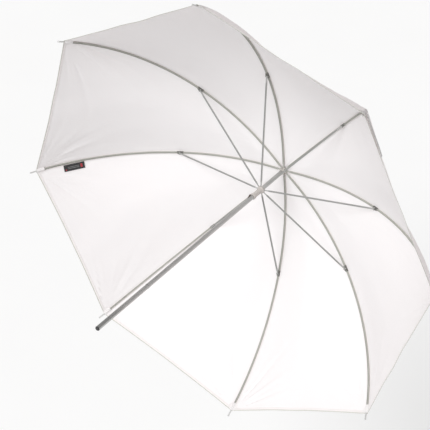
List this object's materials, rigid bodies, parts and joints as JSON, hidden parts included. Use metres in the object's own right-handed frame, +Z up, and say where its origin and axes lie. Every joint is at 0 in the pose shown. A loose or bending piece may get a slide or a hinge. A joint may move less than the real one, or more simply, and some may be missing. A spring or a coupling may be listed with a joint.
{
  "type": "umbrella reflector",
  "caption": "White shoot-through studio umbrella with curved folding ribs, stretchers, a sliding runner and a sprung catch on a straight shaft.",
  "frame": {"origin": "on the shaft's axis, in the middle of the plain stretch of tube behind the stop bead, which a lamp's umbrella clamp grips", "axes": "+Y runs along the shaft to the crown, and the open bowl faces -Y; +Z points up along rib 3, and rib 1 points along +X"},
  "size_m": [0.8564, 0.5731, 0.8564],
  "materials": {
    "shaft_chrome": "bright plated steel tube with fine draw lines",
    "black_plastic": "moulded black plastic",
    "crown_metal": "warm pale grey cast notch",
    "wire_steel": "thin drawn steel wire",
    "canopy_cloth": "white translucent nylon, plain weave",
    "spring_steel": "blued spring steel",
    "runner_plastic": "warm grey moulded plastic",
    "label_weave": "black woven tag with a red end, no lettering",
    "saddle_steel": "dark pressed steel",
    "rivet_steel": "headed steel rivet",
    "tip_metal": "blunt pale metal tip",
    "rib_steel": "olive grey painted steel channel",
    "stretcher_steel": "pale grey painted steel channel"
  },
  "bodies": {
    "shaft": {"shaft": "shaft_chrome", "shaft_end_plug": "black_plastic", "crown": "crown_metal", "crown_hinge_wire": "wire_steel", "outer_cap": "black_plastic", "canopy_washer": "canopy_cloth"},
    "catch": {"catch_spring": "spring_steel"},
    "runner": {"runner": "runner_plastic", "runner_hinge_wire": "wire_steel"},
    "rib_1": {"rib_1": "rib_steel", "rib_saddle_1": "saddle_steel", "saddle_rivet_1": "rivet_steel", "rib_tip_1": "tip_metal", "canopy_panel_1": "canopy_cloth"},
    "stretcher_1": {"stretcher_1": "stretcher_steel"},
    "rib_2": {"rib_2": "rib_steel", "rib_saddle_2": "saddle_steel", "saddle_rivet_2": "rivet_steel", "rib_tip_2": "tip_metal", "canopy_panel_2": "canopy_cloth", "tie_strap": "canopy_cloth"},
    "stretcher_2": {"stretcher_2": "stretcher_steel"},
    "rib_3": {"rib_3": "rib_steel", "rib_saddle_3": "saddle_steel", "saddle_rivet_3": "rivet_steel", "rib_tip_3": "tip_metal", "canopy_panel_3": "canopy_cloth"},
    "stretcher_3": {"stretcher_3": "stretcher_steel"},
    "rib_4": {"rib_4": "rib_steel", "rib_saddle_4": "saddle_steel", "saddle_rivet_4": "rivet_steel", "rib_tip_4": "tip_metal", "canopy_panel_4": "canopy_cloth"},
    "stretcher_4": {"stretcher_4": "stretcher_steel"},
    "rib_5": {"rib_5": "rib_steel", "rib_saddle_5": "saddle_steel", "saddle_rivet_5": "rivet_steel", "rib_tip_5": "tip_metal", "canopy_panel_5": "canopy_cloth", "maker_label": "label_weave"},
    "stretcher_5": {"stretcher_5": "stretcher_steel"},
    "rib_6": {"rib_6": "rib_steel", "rib_saddle_6": "saddle_steel", "saddle_rivet_6": "rivet_steel", "rib_tip_6": "tip_metal", "canopy_panel_6": "canopy_cloth"},
    "stretcher_6": {"stretcher_6": "stretcher_steel"},
    "rib_7": {"rib_7": "rib_steel", "rib_saddle_7": "saddle_steel", "saddle_rivet_7": "rivet_steel", "rib_tip_7": "tip_metal", "canopy_panel_7": "canopy_cloth"},
    "stretcher_7": {"stretcher_7": "stretcher_steel"},
    "rib_8": {"rib_8": "rib_steel", "rib_saddle_8": "saddle_steel", "saddle_rivet_8": "rivet_steel", "rib_tip_8": "tip_metal", "canopy_panel_8": "canopy_cloth"},
    "stretcher_8": {"stretcher_8": "stretcher_steel"}
  },
  "joints": [
    {"name": "rib_1_fold", "type": "hinge", "parent": "shaft", "child": "rib_1", "pos_m": [0.0056, 0.49009, 0], "axis": [0, 0, -1], "range_deg": [0, 58], "deforming": ["canopy_panel_1"]},
    {"name": "rib_2_fold", "type": "hinge", "parent": "shaft", "child": "rib_2", "pos_m": [0.00396, 0.49009, 0.00396], "axis": [0.7071, 0, -0.7071], "range_deg": [0, 58], "deforming": ["canopy_panel_2", "tie_strap"]},
    {"name": "rib_3_fold", "type": "hinge", "parent": "shaft", "child": "rib_3", "pos_m": [0, 0.49009, 0.0056], "axis": [1, 0, 0], "range_deg": [0, 58], "deforming": ["canopy_panel_3"]},
    {"name": "rib_4_fold", "type": "hinge", "parent": "shaft", "child": "rib_4", "pos_m": [-0.00396, 0.49009, 0.00396], "axis": [0.7071, 0, 0.7071], "range_deg": [0, 58], "deforming": ["canopy_panel_4"]},
    {"name": "rib_5_fold", "type": "hinge", "parent": "shaft", "child": "rib_5", "pos_m": [-0.0056, 0.49009, 0], "axis": [0, 0, 1], "range_deg": [0, 58], "deforming": ["canopy_panel_5", "maker_label"]},
    {"name": "rib_6_fold", "type": "hinge", "parent": "shaft", "child": "rib_6", "pos_m": [-0.00396, 0.49009, -0.00396], "axis": [-0.7071, 0, 0.7071], "range_deg": [0, 58], "deforming": ["canopy_panel_6"]},
    {"name": "rib_7_fold", "type": "hinge", "parent": "shaft", "child": "rib_7", "pos_m": [0, 0.49009, -0.0056], "axis": [-1, 0, 0], "range_deg": [0, 58], "deforming": ["canopy_panel_7"]},
    {"name": "rib_8_fold", "type": "hinge", "parent": "shaft", "child": "rib_8", "pos_m": [0.00396, 0.49009, -0.00396], "axis": [-0.7071, 0, -0.7071], "range_deg": [0, 58], "deforming": ["canopy_panel_8"]},
    {"name": "stretcher_1_pivot", "type": "hinge", "parent": "rib_1", "child": "stretcher_1", "pos_m": [0.21304, 0.45117, 0], "axis": [0, 0, -1], "range_deg": [-116, 0]},
    {"name": "stretcher_2_pivot", "type": "hinge", "parent": "rib_2", "child": "stretcher_2", "pos_m": [0.15065, 0.45117, 0.15065], "axis": [0.7071, 0, -0.7071], "range_deg": [-116, 0]},
    {"name": "stretcher_3_pivot", "type": "hinge", "parent": "rib_3", "child": "stretcher_3", "pos_m": [0, 0.45117, 0.21304], "axis": [1, 0, 0], "range_deg": [-116, 0]},
    {"name": "stretcher_4_pivot", "type": "hinge", "parent": "rib_4", "child": "stretcher_4", "pos_m": [-0.15065, 0.45117, 0.15065], "axis": [0.7071, 0, 0.7071], "range_deg": [-116, 0]},
    {"name": "stretcher_5_pivot", "type": "hinge", "parent": "rib_5", "child": "stretcher_5", "pos_m": [-0.21304, 0.45117, 0], "axis": [0, 0, 1], "range_deg": [-116, 0]},
    {"name": "stretcher_6_pivot", "type": "hinge", "parent": "rib_6", "child": "stretcher_6", "pos_m": [-0.15065, 0.45117, -0.15065], "axis": [-0.7071, 0, 0.7071], "range_deg": [-116, 0]},
    {"name": "stretcher_7_pivot", "type": "hinge", "parent": "rib_7", "child": "stretcher_7", "pos_m": [0, 0.45117, -0.21304], "axis": [-1, 0, 0], "range_deg": [-116, 0]},
    {"name": "stretcher_8_pivot", "type": "hinge", "parent": "rib_8", "child": "stretcher_8", "pos_m": [0.15065, 0.45117, -0.15065], "axis": [-0.7071, 0, -0.7071], "range_deg": [-116, 0]},
    {"name": "runner_hinge", "type": "hinge", "parent": "stretcher_1", "child": "runner", "pos_m": [0.0056, 0.41226, 0], "axis": [0, 0, -1], "range_deg": [0, 58]},
    {"name": "catch_press", "type": "hinge", "parent": "shaft", "child": "catch", "pos_m": [-0.00163, 0.35036, 0.00163], "axis": [-0.7071, 0, -0.7071], "range_deg": [0, 5.4], "stiffness_Nm_per_rad": 0.5, "deforming": ["catch_spring"]}
  ],
  "couplings": [
    {"joint": "rib_2_fold", "follows": "rib_1_fold", "ratio": 1},
    {"joint": "rib_3_fold", "follows": "rib_1_fold", "ratio": 1},
    {"joint": "rib_4_fold", "follows": "rib_1_fold", "ratio": 1},
    {"joint": "rib_5_fold", "follows": "rib_1_fold", "ratio": 1},
    {"joint": "rib_6_fold", "follows": "rib_1_fold", "ratio": 1},
    {"joint": "rib_7_fold", "follows": "rib_1_fold", "ratio": 1},
    {"joint": "rib_8_fold", "follows": "rib_1_fold", "ratio": 1},
    {"joint": "stretcher_1_pivot", "follows": "rib_1_fold", "ratio": -2},
    {"joint": "stretcher_2_pivot", "follows": "rib_1_fold", "ratio": -2},
    {"joint": "stretcher_3_pivot", "follows": "rib_1_fold", "ratio": -2},
    {"joint": "stretcher_4_pivot", "follows": "rib_1_fold", "ratio": -2},
    {"joint": "stretcher_5_pivot", "follows": "rib_1_fold", "ratio": -2},
    {"joint": "stretcher_6_pivot", "follows": "rib_1_fold", "ratio": -2},
    {"joint": "stretcher_7_pivot", "follows": "rib_1_fold", "ratio": -2},
    {"joint": "stretcher_8_pivot", "follows": "rib_1_fold", "ratio": -2},
    {"joint": "runner_hinge", "follows": "rib_1_fold", "ratio": 1}
  ]
}
